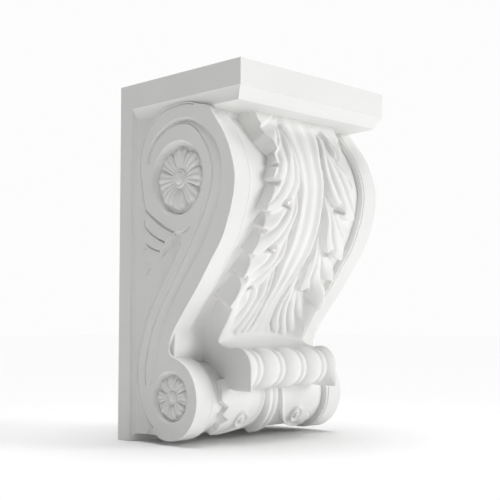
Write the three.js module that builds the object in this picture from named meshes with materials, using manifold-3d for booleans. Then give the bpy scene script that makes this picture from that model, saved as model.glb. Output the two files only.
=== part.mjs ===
// Scrolled wall corbel with an acanthus leaf, cast in one piece.
// Millimetres, +Z up, wall face on Y = 0, the corbel stands out toward -Y, X = 0 is the middle.
import * as THREE from "three";
import Module from "manifold-3d";

const wasm = await Module();
wasm.setup();

// Overall sizes
const WIDTH = 196;
const DEPTH = 160;
const HEIGHT = 330;

// Back plate and top block
const PLATE_THICK = 16.5;
const FASCIA_HIGH = 23;
const COVE_HIGH = 11;
const COVE_IN = 4.5;
const FRONT_COVE_IN = 7;
const COVE_BOW = 0.1;
const FOOT_COVE_HIGH = 7.2;
const SOFFIT_DROP = 4;

// Sides
const SIDE_STEP = 1;
const CARVE_DEEP = 5;
const GROOVE_DEEP = 4.6;
const SIDE_STEM_RISE = 1.2;

// Front channel between the two plain bands
const BAND_WIDE = 22;
const BAND_BEVEL = 0.8;
const CHANNEL_DEEP = 5;

// Lower scroll
const SCROLL_R = 36.7;

// Round recesses with rosettes
const UPPER_RECESS_R = 34;
const LOWER_RECESS_R = 23;
const RECESS_SLOPE = 3;
const UPPER_RECESS_DEEP = 6.5;
const LOWER_RECESS_DEEP = 5;
const UPPER_FLOWER_R = 28;
const LOWER_FLOWER_R = 19;
const PETALS = 8;

// Leaf tip roll
const ROLL_R = 19;
const ROLL_WIDE = 116;
const GADROON_WIDE = 28.7;
const GADROON_DEEP = 3.5;

// Carving on the front of the lower scroll
const SCROLL_LEAF_RISE = 5;
const SCROLL_LEAF_DIP = 3;
const SCROLL_RIB_WIDE = 18;
const CURL_R = 7;
const CURL_RISE = 7;

// How far a carved piece is rooted in its ground, and how far a cut runs past its face
const ROOTED = 1;
const CUT_PAST = 1;

// The finished solid has no edge shorter than this and no triangle lower than half of it
const FINEST = 0.02;

const half = WIDTH / 2;
const halfHeight = HEIGHT / 2;
const sideX = half - SIDE_STEP;
const panelX = half - COVE_IN;
const grooveX = sideX - GROOVE_DEEP;
const coveTop = halfHeight - FASCIA_HIGH;
const coveBottom = coveTop - COVE_HIGH;
const bandIn = half - BAND_WIDE;
const channelX = bandIn - BAND_BEVEL;

// Side drawing: each pair is a share of the depth out from the wall and of the half height,
// both in per cent
const S_FRONT = [
  [74.7, 79.2], [80, 72.1], [85.6, 64.8], [90.6, 55.8], [93.8, 46.7], [95, 39.4],
  [93.8, 29.7], [91.2, 21.2], [85, 7.9], [77.5, -1.8], [67.5, -14.8], [56.2, -27.9],
  [47.8, -38.2], [44.1, -44.8], [43.3, -49.1], [44.4, -51.8], [46.8, -53.2],
];
const WALL_EDGE = [
  [32.9, -94.5], [26.7, -89.6], [21.8, -83.5], [17.9, -74.9], [15.9, -64], [16.9, -51.9],
  [19.8, -44.1], [23.7, -33.3], [29.6, -22.4], [38.8, -10.1], [48.9, 3.9], [54, 12.7],
];
const SCROLL_TOP = [
  [52.5, 13.3], [45.7, 13.9], [38.3, 16.8], [28.9, 22.3], [22.1, 27.6], [18.5, 40.7],
  [16.9, 53], [19.2, 65.1], [25.4, 74.1], [35.8, 81.1], [46.9, 83.4], [57.8, 83.3],
  [68.4, 80.7],
];
const GROOVE_STEP = [
  [22.8, 48.5], [25, 59.4], [30.2, 66.7], [37.8, 71.4], [45.2, 74.2], [52.4, 75],
  [59.6, 74.1], [66.7, 70.9], [73.6, 65.9], [79.6, 59.4], [83.4, 51.5], [84.6, 42.4],
  [83, 31.3], [78.1, 19.4], [67.5, 3], [51.6, -15.8], [41.6, -31.2], [35.3, -44.8],
  [32.2, -57.2], [29.1, -64.8], [25.9, -72.1],
];
const GROOVE_RAMP = [
  [24.1, 48.2], [26.7, 58.2], [31.2, 64.8], [38.1, 69.2], [45.3, 71.8], [52.5, 72.5],
  [59.1, 71.2], [65, 67.6], [69.7, 62.4], [74.1, 56.4], [76.9, 49.7], [77.5, 42.4],
  [75.9, 33.9], [70.6, 22.4], [60, 6.1], [44, -15.6], [33.1, -31.2], [26.6, -44.8],
  [23.7, -57.6], [23.5, -65.5], [24.9, -72.1],
];
const SCROLL_EYE = [43.3, -75.3];
const UPPER_ROSE = [49.4, 43];
const LOWER_ROSE = [44.4, -74.4];
const ROLL_EYE = [71.2, -59.4];
const FOOT_CORNER = [22.5, -95.4];

// Side leaf below the upper scroll: the lower edge of each lobe, then the long stem
const SIDE_LOBES = [
  { edge: [[21.5, 30], [21.1, 20], [25.2, 15.2], [31.9, 11.5], [39, 8.8]], rise: 2.6 },
  { edge: [[20, 24], [20.4, 12.5], [23.2, 8.1], [29.3, 5.3], [35, 4.2]], rise: 2 },
  { edge: [[21.9, 10], [19.9, 4.1], [19.9, 0.2], [24, -2.9], [32, -3]], rise: 1.4 },
];
const SIDE_STEM = [
  [24, -2.4], [21.4, -10.1], [21.5, -15.9], [21.6, -24.4], [22.4, -32],
];

// Leaf leaflets on the right half: root, bend and tip as per cent of the half width and of
// the half height, then the width in millimetres
const LEAFLETS = [
  [[18, 80], [36, 78], [51, 71.5], 20],
  [[18, 78], [36, 70], [48, 58], 14],
  [[16, 75], [30, 66], [37, 60], 10],
  [[30, 69], [47, 57], [59, 41], 14],
  [[24, 68], [34, 38], [65, 24], 15],
  [[24, 65], [17, 43], [35, 31], 8],
  [[24, 36], [46, 20], [64, 15], 15],
  [[20, 38], [35, 10], [67, 3], 14],
  [[18, 36], [22, 14], [39, 8], 8],
  [[26, 14], [46, -3], [68, -10], 16],
  [[22, 14], [38, -14], [69, -21.5], 15],
  [[18, 20], [24, -4], [38, -13], 8],
  [[30, -12], [44, -25], [62, -34], 15],
  [[26, -10], [28, -24], [41, -34], 10],
  [[18, -2], [10, -20], [22, -35], 8],
];
const LEAF_DRAFT = 3;
const LEAF_RIDGE = 1;
const LEAF_SHOULDER = 2.2;
const LEAF_TOE_DROP = 3.5;

// How far the outer, middle and inner leaflet of a lobe dips under the lobe above it
const ROOT_SINK = [4.5, 2.5, 1];

// Leaf ground and ribbed stem, from the edge to the middle: distance from the middle in
// millimetres, then how far it lies below the leaf surface
const SHEET = [[46, 5], [30, 4], [13, 3.5]];
const STEM = [[17, 4], [14.5, 0.6], [11, -0.4], [7, 0.8], [3, -0.5], [0, -0.8]];

// Where the leaf ground and the stem start and end, as per cent of the half height
const SHEET_RUN = [78, -38];
const STEM_RUN = [80, -44];

// Leaf tip below the ribs: the same lip at the middle and at its two ends, as shares, and the
// share of its width over which it keeps its middle form
const TIP_LIP = [
  [[57.5, -21], [70, -21]],
  [[55.5, -31.5], [65.5, -32.5]],
  [[53, -39], [60.5, -39.5]],
  [[53, -45], [56, -45.5]],
];
const TIP_EVEN = 0.48;

// Leaf on the lower scroll: turn round its eye in degrees, then the inner and outer edge as
// per cent of the half width
const SCROLL_LEAF = [
  [165, 12, 70], [182, 12, 67], [192, 13, 58], [203, 15, 64], [212, 18, 54], [222, 23, 62],
  [232, 30, 60], [242, 42, 62], [248, 52, 60],
];
const SCROLL_RIB_TURNS = [160, 260];
const CURL = [38, 213];

// Height of the leaf above the channel floor: per cent of the half height, then millimetres
// at the stem, halfway out and at the edge
const LEAF_RISE = [
  [84, 15, 13.5, 12.5], [73, 13.5, 13.5, 13], [67, 11.2, 13.2, 13.3], [61, 10.2, 13, 13.5],
  [51.5, 8, 12.3, 12.3], [42.4, 7.2, 12, 11.2], [30, 7.5, 12.8, 10.8], [18, 9, 13, 10.8],
  [6, 9.6, 13.6, 11.2], [0, 10.6, 12.6, 12.5], [-6, 11, 11.2, 15], [-12, 10.5, 10, 17.5],
  [-21, 10.3, 11, 20], [-31.5, 12.8, 15.6, 23], [-38, 16, 18.6, 25], [-46, 18, 20, 25],
];
const LEAF_HALFWAY = 38;
const LEAF_EDGE = 60;

// Curves

function spot([out, up]) {
  return [-DEPTH * out / 100, halfHeight * up / 100];
}

function curve(shares) {
  const points = shares.map((s) => new THREE.Vector3(...spot(s), 0));
  return new THREE.CatmullRomCurve3(points, false, "centripetal");
}

function trace(shares, count) {
  return curve(shares).getPoints(count).map((p) => [p.x, p.y]);
}

function arc([y, z], radius, from, to, count) {
  const out = [];
  for (let i = 0; i <= count; i += 1) {
    const a = from + (to - from) * i / count;
    out.push([y + radius * Math.cos(a), z + radius * Math.sin(a)]);
  }
  return out;
}

function blend(table, key) {
  let i = 0;
  while (i < table.length - 2 && key < table[i + 1][0]) {
    i += 1;
  }
  const [k0, ...a] = table[i];
  const [k1, ...b] = table[i + 1];
  const t = THREE.MathUtils.clamp((key - k0) / (k1 - k0), 0, 1);
  return a.map((v, j) => v + (b[j] - v) * t);
}

// Solids

function signedVolume(points, faces) {
  let sum = 0;
  for (const [a, b, c] of faces) {
    sum += points[a].dot(new THREE.Vector3().crossVectors(points[b], points[c]));
  }
  return sum;
}

function cap(ring) {
  const normal = new THREE.Vector3();
  ring.forEach((p, i) => {
    const q = ring[(i + 1) % ring.length];
    normal.add(new THREE.Vector3().crossVectors(p, q));
  });
  normal.normalize();
  const side = new THREE.Vector3(0.3, 0.5, 0.8).cross(normal).normalize();
  const up = new THREE.Vector3().crossVectors(normal, side);
  const flat = ring.map((p) => new THREE.Vector2(p.dot(side), p.dot(up)));
  return THREE.ShapeUtils.triangulateShape(flat, []);
}

// Closed skin through a row of rings with equal point counts
function skin(rings) {
  const n = rings[0].length;
  const points = rings.flat();
  const faces = [];
  for (let r = 0; r < rings.length - 1; r += 1) {
    for (let i = 0; i < n; i += 1) {
      const j = (i + 1) % n;
      const a = r * n + i;
      const b = r * n + j;
      faces.push([a, b, b + n], [a, b + n, a + n]);
    }
  }
  const last = (rings.length - 1) * n;
  for (const [a, b, c] of cap(rings[0])) {
    faces.push([a, c, b]);
  }
  for (const [a, b, c] of cap(rings[rings.length - 1])) {
    faces.push([last + a, last + b, last + c]);
  }
  const flip = signedVolume(points, faces) < 0;
  const triVerts = new Uint32Array(faces.flatMap(([a, b, c]) => (flip ? [a, c, b] : [a, b, c])));
  const vertProperties = new Float32Array(points.flatMap((p) => [p.x, p.y, p.z]));
  return new wasm.Manifold(new wasm.Mesh({ numProp: 3, vertProperties, triVerts }));
}

function ringAt(x, outline) {
  return outline.map(([y, z]) => new THREE.Vector3(x, y, z));
}

function prism(outline, x0, x1) {
  return skin([ringAt(x0, outline), ringAt(x1, outline)]);
}

function mirrored(solid) {
  return solid.mirror([1, 0, 0]);
}

function both(solid) {
  return solid.add(mirrored(solid));
}

// Front line of the bands: the S, then the lower scroll round to its underside

const scrollEye = spot(SCROLL_EYE);
const sLine = trace(S_FRONT, 26);
const scrollArc = arc(scrollEye, SCROLL_R, Math.PI * 0.58, Math.PI * 1.63, 16);
const frontLine = [...sLine, ...scrollArc];

function outward(line, i) {
  const a = line[Math.max(i - 1, 0)];
  const b = line[Math.min(i + 1, line.length - 1)];
  const dy = b[0] - a[0];
  const dz = b[1] - a[1];
  const size = Math.hypot(dy, dz);
  return [dz / size, -dy / size];
}

const frontNormals = frontLine.map((p, i) => outward(frontLine, i));

function inset(depth) {
  return frontLine.map(([y, z], i) => {
    const [ny, nz] = frontNormals[i];
    return [y - ny * depth, z - nz * depth];
  });
}

// Body between the bands and behind the side carving
const backBottom = -halfHeight + FOOT_COVE_HIGH;
const footCorner = spot(FOOT_CORNER);
const blockInside = coveTop + FASCIA_HIGH / 2;
const bodyBack = [
  footCorner,
  [-PLATE_THICK / 2, backBottom],
  [-PLATE_THICK / 2, blockInside],
  [spot(S_FRONT[0])[0] + CHANNEL_DEEP, blockInside],
];

function bodyRing(x, depth) {
  return ringAt(x, [...inset(depth), ...bodyBack]);
}

const body = skin([
  bodyRing(-grooveX, 0),
  bodyRing(-bandIn, 0),
  bodyRing(-channelX, CHANNEL_DEEP),
  bodyRing(channelX, CHANNEL_DEEP),
  bodyRing(bandIn, 0),
  bodyRing(grooveX, 0),
]);

// Panel ground of the sides, behind the scrolls
const panelLine = [
  ...trace(WALL_EDGE.slice(0, 3), 4).map(([y, z]) => [y - CARVE_DEEP, z]),
  [scrollEye[0], scrollEye[1]],
  spot([50, 0]),
  spot([70, 30]),
  spot([74, 70]),
  [spot([74, 70])[0], coveTop + COVE_IN],
  [-PLATE_THICK / 2, coveTop + COVE_IN],
  [-PLATE_THICK / 2, backBottom],
  footCorner,
  spot([25.6, -90.5]),
];
const panel = prism(panelLine, -panelX, panelX);

// Plate with a small cove down to the panel

function plateRing(y, inX) {
  const x = half - inX;
  const low = -halfHeight + inX * FOOT_COVE_HIGH / COVE_IN;
  return [
    new THREE.Vector3(-x, y, low),
    new THREE.Vector3(x, y, low),
    new THREE.Vector3(x, y, coveTop + COVE_IN),
    new THREE.Vector3(-x, y, coveTop + COVE_IN),
  ];
}

const COVE_STEPS = 4;
const plateRings = [plateRing(0, 0), plateRing(-PLATE_THICK, 0)];
for (let i = 1; i <= COVE_STEPS; i += 1) {
  const a = Math.PI / 2 * i / COVE_STEPS;
  plateRings.push(plateRing(-PLATE_THICK - COVE_IN * (1 - Math.cos(a)), COVE_IN * Math.sin(a)));
}
const plate = skin(plateRings);

// Top block: plain fascia, cove and sloping underside

function blockRing(z, inX, inY) {
  const x = half - inX;
  const y = -DEPTH + inY;
  return [
    new THREE.Vector3(-x, 0, z),
    new THREE.Vector3(-x, y, z),
    new THREE.Vector3(x, y, z),
    new THREE.Vector3(x, 0, z),
  ];
}

const blockRings = [blockRing(halfHeight, 0, 0), blockRing(coveTop, 0, 0)];
for (let i = 1; i <= COVE_STEPS; i += 1) {
  const t = i / COVE_STEPS;
  const share = t + COVE_BOW * Math.sin(Math.PI * t);
  blockRings.push(blockRing(coveTop - COVE_HIGH * t, COVE_IN * share, FRONT_COVE_IN * share));
}
const soffitIn = DEPTH + spot(S_FRONT[0])[0];
blockRings.push(blockRing(coveBottom - SOFFIT_DROP, COVE_IN + CARVE_DEEP, soffitIn));
const block = skin(blockRings);

// Side scroll: one plate with the S, both volutes and the strip between them
const stripLine = [
  ...sLine,
  ...scrollArc.slice(0, -1),
  ...trace(WALL_EDGE, 22),
  ...trace(SCROLL_TOP, 24),
];
let side = prism(stripLine, grooveX - CARVE_DEEP, sideX);

// The groove fades in and out over its first and last sixth
const STEP_POINTS = 40;
const FADE_POINTS = STEP_POINTS / 6;
const step = trace(GROOVE_STEP, STEP_POINTS);
const ramp = trace(GROOVE_RAMP, STEP_POINTS);
const groove = skin(step.map(([y, z], i) => {
  const [ry, rz] = ramp[i];
  const fromEnd = Math.min(i, STEP_POINTS - i) + 0.4;
  const deep = GROOVE_DEEP * Math.min(1, fromEnd / FADE_POINTS);
  return [
    new THREE.Vector3(sideX + CUT_PAST, y, z),
    new THREE.Vector3(sideX - deep, y, z),
    new THREE.Vector3(sideX, ry, rz),
    new THREE.Vector3(sideX + CUT_PAST, ry, rz),
  ];
}));
side = side.subtract(groove);

const ROUND_POINTS = 30;

function recess(eye, radius, deep) {
  const circle = (r) => arc(eye, r, 0, 2 * Math.PI, ROUND_POINTS).slice(0, -1);
  return skin([
    ringAt(sideX + CUT_PAST, circle(radius + CUT_PAST * RECESS_SLOPE / deep)),
    ringAt(sideX - deep, circle(radius - RECESS_SLOPE)),
  ]);
}

// Rosette of notched petals round a button
const PETAL_POINTS = 4;
const PETAL_REACH = [0.84, 1, 0.93, 1];
const PETAL_LIFT = [0.25, 1, 0.6, 1];

function rosette(eye, radius, floorX, lift) {
  const around = PETALS * PETAL_POINTS;
  const loop = (share, height) => {
    const out = [];
    for (let i = 0; i < around; i += 1) {
      const a = 2 * Math.PI * (i + 1) / around;
      const r = radius * share * (share < 0.5 ? 1 : PETAL_REACH[i % PETAL_POINTS]);
      const x = floorX + height * lift * (height > 0 ? PETAL_LIFT[i % PETAL_POINTS] : 1);
      out.push(new THREE.Vector3(x, eye[0] + r * Math.cos(a), eye[1] + r * Math.sin(a)));
    }
    return out;
  };
  const petals = skin([loop(1, -0.5), loop(1, 0.7), loop(0.66, 1.05), loop(0.24, 0.75)]);
  const circle = (r) => arc(eye, radius * r, 0, 2 * Math.PI, 12).slice(0, -1);
  const button = skin([
    ringAt(floorX, circle(0.26)),
    ringAt(floorX + lift, circle(0.24)),
    ringAt(floorX + lift * 1.2, circle(0.15)),
  ]);
  return petals.add(button);
}

const upperRose = spot(UPPER_ROSE);
const lowerRose = spot(LOWER_ROSE);
const upperFloor = sideX - UPPER_RECESS_DEEP;
const lowerFloor = sideX - LOWER_RECESS_DEEP;
const hollows = recess(upperRose, UPPER_RECESS_R, UPPER_RECESS_DEEP)
  .add(recess(lowerRose, LOWER_RECESS_R, LOWER_RECESS_DEEP));
const flowers = rosette(upperRose, UPPER_FLOWER_R, upperFloor, UPPER_RECESS_DEEP * 0.75)
  .add(rosette(lowerRose, LOWER_FLOWER_R, lowerFloor, LOWER_RECESS_DEEP * 0.75));

// Low leaf on the side panel
const leafRoot = [spot([46, 12]), spot([47, 18]), spot([30, 26])];
let sideLeaf = prism([
  ...trace(SIDE_STEM, 8),
  ...trace(WALL_EDGE.slice(7), 8).map(([y, z]) => [y - ROOTED, z - ROOTED]),
  spot([36, 1]),
], grooveX, panelX + SIDE_STEM_RISE);
for (const lobe of SIDE_LOBES) {
  const line = [...trace(lobe.edge, 8), ...leafRoot];
  sideLeaf = sideLeaf.add(prism(line, grooveX, panelX + lobe.rise));
}

// Front leaf

function floorAt(z) {
  let i = 0;
  while (i < sLine.length - 2 && sLine[i + 1][1] > z) {
    i += 1;
  }
  const t = (z - sLine[i][1]) / (sLine[i + 1][1] - sLine[i][1]);
  const mix = (a, b) => a + (b - a) * t;
  const ny = mix(frontNormals[i][0], frontNormals[i + 1][0]);
  const nz = mix(frontNormals[i][1], frontNormals[i + 1][1]);
  const size = Math.hypot(ny, nz);
  return {
    y: mix(sLine[i][0], sLine[i + 1][0]) - ny / size * CHANNEL_DEEP,
    z: z - nz / size * CHANNEL_DEEP,
    ny: ny / size,
    nz: nz / size,
  };
}

function leafPoint(x, z, rise) {
  const f = floorAt(z);
  return new THREE.Vector3(x, f.y + f.ny * rise, f.z + f.nz * rise);
}

function leafRise(x, z) {
  const [stem, halfway, edge] = blend(LEAF_RISE, 100 * z / halfHeight);
  const inner = THREE.MathUtils.smoothstep(Math.abs(x), 0, LEAF_HALFWAY);
  const outer = THREE.MathUtils.smoothstep(Math.abs(x), LEAF_HALFWAY, LEAF_EDGE);
  return stem + (halfway - stem) * inner + (edge - halfway) * outer;
}

const LEAFLET_STEPS = 5;

function leaflet([root, bend, tip, wide], sink) {
  const plan = (p) => new THREE.Vector2(half * p[0] / 100, halfHeight * p[1] / 100);
  const path = new THREE.QuadraticBezierCurve(plan(root), plan(bend), plan(tip));
  const rings = [];
  for (let i = 0; i <= LEAFLET_STEPS; i += 1) {
    const t = i / LEAFLET_STEPS;
    const at = path.getPoint(t);
    const along = path.getTangent(t);
    const w = Math.max(0.6, wide / 2 * Math.pow(Math.sin(Math.PI * (0.18 + 0.81 * t)), 0.7));
    const drop = LEAF_TOE_DROP * Math.pow(t, 6);
    const foot = w + LEAF_DRAFT * (0.4 + 0.6 * t);
    const reach = i === LEAFLET_STEPS ? LEAF_DRAFT : 0;
    const put = (across, rise, ahead) => leafPoint(
      at.x - along.y * across + along.x * ahead,
      at.y + along.x * across + along.y * ahead,
      rise,
    );
    const top = leafRise(at.x, at.y) - drop - sink * (1 - t) * (1 - t);
    rings.push([
      put(-foot, -ROOTED, reach),
      put(-w, top - LEAF_SHOULDER, 0),
      put(0, top + LEAF_RIDGE, 0),
      put(w, top - LEAF_SHOULDER, 0),
      put(foot, -ROOTED, reach),
    ]);
  }
  return skin(rings);
}

const leaflets = LEAFLETS.map((row, i) => both(leaflet(row, ROOT_SINK[i % ROOT_SINK.length])));

// Leaf ground and stem run down the middle
const RUN_STEPS = 16;

function run(rows, [top, bottom], steps) {
  const rings = [];
  for (let i = 0; i <= steps; i += 1) {
    const z = halfHeight * (top + (bottom - top) * i / steps) / 100;
    const line = [];
    for (const [x, drop] of rows) {
      line.push(leafPoint(-x, z, leafRise(x, z) - drop));
    }
    for (const [x, drop] of [...rows].reverse()) {
      if (x > 0) {
        line.push(leafPoint(x, z, leafRise(x, z) - drop));
      }
    }
    line.push(leafPoint(rows[0][0] + ROOTED, z, -ROOTED));
    line.push(leafPoint(-rows[0][0] - ROOTED, z, -ROOTED));
    rings.push(line);
  }
  return skin(rings);
}

const leaf = wasm.Manifold.union([
  ...leaflets,
  run(SHEET, SHEET_RUN, RUN_STEPS),
  run(STEM, STEM_RUN, RUN_STEPS),
]);

// Leaf tip: a sheet that swings forward and rolls over the lower scroll
const rollEye = spot(ROLL_EYE);
const rollArc = arc(rollEye, ROLL_R - GADROON_DEEP, Math.PI * 0.5, Math.PI * 1.5, 10);

function tipRing(x) {
  const scoop = THREE.MathUtils.smoothstep(Math.abs(x) / (ROLL_WIDE / 2), TIP_EVEN, 1);
  const lip = TIP_LIP.map(([[a, up], [b, low]]) => (
    spot([a + (b - a) * scoop, up + (low - up) * scoop])
  ));
  return ringAt(x, [
    spot([45, -12]),
    ...lip,
    spot([58, -48]),
    ...rollArc,
    spot([60, -72]),
    spot([40, -60]),
  ]);
}

const TIP_STATIONS = [-1, -0.87, -0.74, -0.6, -0.45, 0, 0.45, 0.6, 0.74, 0.87, 1];
const tip = skin(TIP_STATIONS.map((t) => tipRing(t * ROLL_WIDE / 2)));

const ROLL_STEPS = 24;
const rollRings = [];
for (let i = 0; i <= ROLL_STEPS; i += 1) {
  const x = ROLL_WIDE * (i / ROLL_STEPS - 0.5);
  const wave = Math.abs(Math.cos(Math.PI * x / GADROON_WIDE));
  const r = ROLL_R - GADROON_DEEP * (1 - Math.pow(wave, 0.6));
  rollRings.push(ringAt(x, arc(rollEye, r, 0, 2 * Math.PI, 14).slice(0, -1)));
}
const roll = skin(rollRings);

// Carved scrolls on the front of the lower volute
const LOWER_FLOOR_R = SCROLL_R - CHANNEL_DEEP;

function wrap(x, turn, rise) {
  const a = Math.PI * turn / 180;
  const r = LOWER_FLOOR_R + rise;
  return new THREE.Vector3(x, scrollEye[0] + r * Math.cos(a), scrollEye[1] + r * Math.sin(a));
}

const scrollLeaf = skin(SCROLL_LEAF.map(([turn, inner, outer]) => [
  wrap(half * inner / 100, turn, -ROOTED),
  wrap(half * inner / 100, turn, SCROLL_LEAF_RISE * 0.9),
  wrap(half * (inner + 6) / 100, turn, SCROLL_LEAF_RISE),
  wrap(half * (inner + outer) / 200, turn, SCROLL_LEAF_DIP),
  wrap(half * (outer - 3) / 100, turn, SCROLL_LEAF_RISE * 0.9),
  wrap(half * outer / 100, turn, -ROOTED),
]));

const RIB_STEPS = 10;
const rib = [];
for (let i = 0; i <= RIB_STEPS; i += 1) {
  const [from, to] = SCROLL_RIB_TURNS;
  const turn = from + (to - from) * i / RIB_STEPS;
  const w = SCROLL_RIB_WIDE / 2 * (1 - 0.22 * i / RIB_STEPS);
  rib.push([
    wrap(-w - ROOTED, turn, -ROOTED),
    wrap(-w, turn, SCROLL_LEAF_RISE / 2),
    wrap(-w / 2, turn, SCROLL_LEAF_RISE),
    wrap(0, turn, SCROLL_LEAF_DIP),
    wrap(w / 2, turn, SCROLL_LEAF_RISE),
    wrap(w, turn, SCROLL_LEAF_RISE / 2),
    wrap(w + ROOTED, turn, -ROOTED),
  ]);
}

const CURL_POINTS = 12;
const curlAt = (r, a, rise) => wrap(
  half * CURL[0] / 100 + r * Math.cos(a),
  CURL[1] + r * Math.sin(a) / LOWER_FLOOR_R * 180 / Math.PI,
  rise,
);
const curlLoop = (r, rise) => {
  const out = [];
  for (let i = 0; i < CURL_POINTS; i += 1) {
    out.push(curlAt(r, 2 * Math.PI * i / CURL_POINTS, rise));
  }
  return out;
};
const curl = skin([
  curlLoop(CURL_R, -ROOTED),
  curlLoop(CURL_R * 0.93, CURL_RISE - 1),
  curlLoop(CURL_R * 0.5, CURL_RISE),
]);

const lowerCarving = both(scrollLeaf.add(curl)).add(skin(rib));

// One casting
const sides = both(side.add(sideLeaf));
let corbel = body.add(panel).add(plate).add(block).add(sides);
corbel = corbel.subtract(both(hollows)).add(both(flowers));
corbel = corbel.add(leaf).add(tip).add(roll).add(lowerCarving).simplify(FINEST);

// Close up tiny edges, then turn the long edge of triangles that are nearly a line
function tidied(points, triangles) {
  const faces = triangles.map((f) => [...f]);
  const around = points.map(() => new Set());
  faces.forEach((f, i) => f.forEach((v) => around[v].add(i)));
  const neighbours = (v) => {
    const out = new Set([...around[v]].flatMap((i) => faces[i]));
    out.delete(v);
    return out;
  };
  const drop = (i) => faces[i].forEach((v) => around[v].delete(i));
  const put = (i, f) => {
    drop(i);
    faces[i] = f;
    f.forEach((v) => around[v].add(i));
  };
  for (let v = 0; v < points.length; v += 1) {
    for (const w of neighbours(v)) {
      const here = neighbours(v);
      const shared = [...neighbours(w)].filter((u) => here.has(u));
      if (here.has(w) && shared.length === 2 && points[v].distanceTo(points[w]) < FINEST) {
        for (const i of [...around[w]]) {
          if (faces[i].includes(v)) {
            drop(i);
          } else {
            put(i, faces[i].map((u) => (u === w ? v : u)));
          }
        }
      }
    }
  }
  for (let i = 0; i < faces.length; i += 1) {
    if (around[faces[i][0]].has(i)) {
      const size = [0, 1, 2].map((k) => points[faces[i][k]].distanceTo(points[faces[i][(k + 1) % 3]]));
      const k = size.indexOf(Math.max(...size));
      const [a, b, c] = [faces[i][k], faces[i][(k + 1) % 3], faces[i][(k + 2) % 3]];
      const line = new THREE.Line3(points[a], points[b]);
      const foot = line.closestPointToPoint(points[c], true, new THREE.Vector3());
      const other = [...around[a]].find((j) => j !== i && faces[j].includes(b));
      const d = faces[other].find((v) => v !== a && v !== b);
      if (foot.distanceTo(points[c]) < FINEST / 2 && !neighbours(c).has(d)) {
        put(i, [a, d, c]);
        put(other, [d, b, c]);
      }
    }
  }
  return faces.filter((f, i) => around[f[0]].has(i));
}

function toMesh(solid, name) {
  const { vertProperties, triVerts, numProp } = solid.getMesh();
  const points = [];
  for (let i = 0; i < vertProperties.length; i += numProp) {
    points.push(new THREE.Vector3().fromArray(vertProperties, i));
  }
  const triangles = [];
  for (let i = 0; i < triVerts.length; i += 3) {
    triangles.push([...triVerts.slice(i, i + 3)]);
  }
  const geometry = new THREE.BufferGeometry().setFromPoints(points);
  geometry.setIndex(tidied(points, triangles).flat());
  geometry.computeVertexNormals();
  const material = new THREE.MeshStandardMaterial({
    color: 0xf1f0ed,
    roughness: 0.6,
    metalness: 0,
    flatShading: true,
  });
  const mesh = new THREE.Mesh(geometry, material);
  mesh.name = name;
  return mesh;
}

const group = new THREE.Group();
group.add(toMesh(corbel, "corbel"));

export default group;
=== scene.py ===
"""Scrolled wall corbel with an acanthus leaf: the carved visual surface over the solid.

Everything is worked out in millimetres in the part's frame (+Z up, wall on Y = 0, middle on
X = 0) and scaled to metres at the end.
"""
import math

import bpy
import numpy as np
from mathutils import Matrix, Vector


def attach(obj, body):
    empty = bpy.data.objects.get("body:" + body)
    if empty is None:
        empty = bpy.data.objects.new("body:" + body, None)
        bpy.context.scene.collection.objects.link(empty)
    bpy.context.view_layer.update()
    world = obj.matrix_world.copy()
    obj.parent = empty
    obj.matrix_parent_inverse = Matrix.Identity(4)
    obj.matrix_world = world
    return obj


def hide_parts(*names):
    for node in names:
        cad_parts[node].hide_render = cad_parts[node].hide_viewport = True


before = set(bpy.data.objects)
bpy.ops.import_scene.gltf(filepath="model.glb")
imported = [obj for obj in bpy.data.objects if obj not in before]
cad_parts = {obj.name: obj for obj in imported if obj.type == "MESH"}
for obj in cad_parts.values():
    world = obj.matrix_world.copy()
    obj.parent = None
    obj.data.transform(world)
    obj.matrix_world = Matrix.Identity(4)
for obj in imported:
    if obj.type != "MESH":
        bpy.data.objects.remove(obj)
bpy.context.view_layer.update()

# Overall sizes
WIDTH = 196.0
DEPTH = 160.0
HEIGHT = 330.0

# Back plate and top block
PLATE_THICK = 16.5
FASCIA_HIGH = 23.0
COVE_HIGH = 11.0
COVE_IN = 4.5
FRONT_COVE_IN = 7.0
COVE_BOW = 0.1
COVE_QUIRK = 0.09
COVE_STEPS = 10
FOOT_COVE_HIGH = 7.2
SOFFIT_DROP = 2.5

# Sides
SIDE_STEP = 1.0
CARVE_DEEP = 5.0
GROOVE_DEEP = 4.6
GROOVE_KNEE = 0.45
SIDE_STEM_RISE = 1.2

# Front bands, each with a thin line beside a narrow list along its inner edge
BAND_WIDE = 22.0
BAND_BEVEL = 0.8
LINE_OUTSIDE = 0.4
LINE_INSIDE = 0.5
LIST_WIDE = 2.6
LIST_DEEP = 1.1
LIST_LOW = 0.35
LIST_ROUND = 0.5

# Front channel with a quirk at the foot of each band
CHANNEL_DEEP = 5.0
QUIRK_DEEP = 1.3
QUIRK_WIDE = 1.6

# Lower scroll
SCROLL_R = 36.7

# Round recesses with rosettes
UPPER_RECESS_R = 34.0
LOWER_RECESS_R = 23.0
RECESS_SLOPE = 3.0
UPPER_RECESS_DEEP = 6.5
LOWER_RECESS_DEEP = 5.0
UPPER_FLOWER_R = 28.0
LOWER_FLOWER_R = 19.0
PETALS = 8

# Leaf tip roll
ROLL_R = 19.0
ROLL_WIDE = 116.0
GADROON_WIDE = 28.7
GADROON_DEEP = 3.5

# How far a cutter stands out of the face that it cuts
CUT_PAST = 1.0

half = WIDTH / 2
half_high = HEIGHT / 2
side_x = half - SIDE_STEP
panel_x = half - COVE_IN
groove_x = side_x - GROOVE_DEEP
cove_top = half_high - FASCIA_HIGH
cove_bottom = cove_top - COVE_HIGH
band_in = half - BAND_WIDE
channel_x = band_in - BAND_BEVEL

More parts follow.
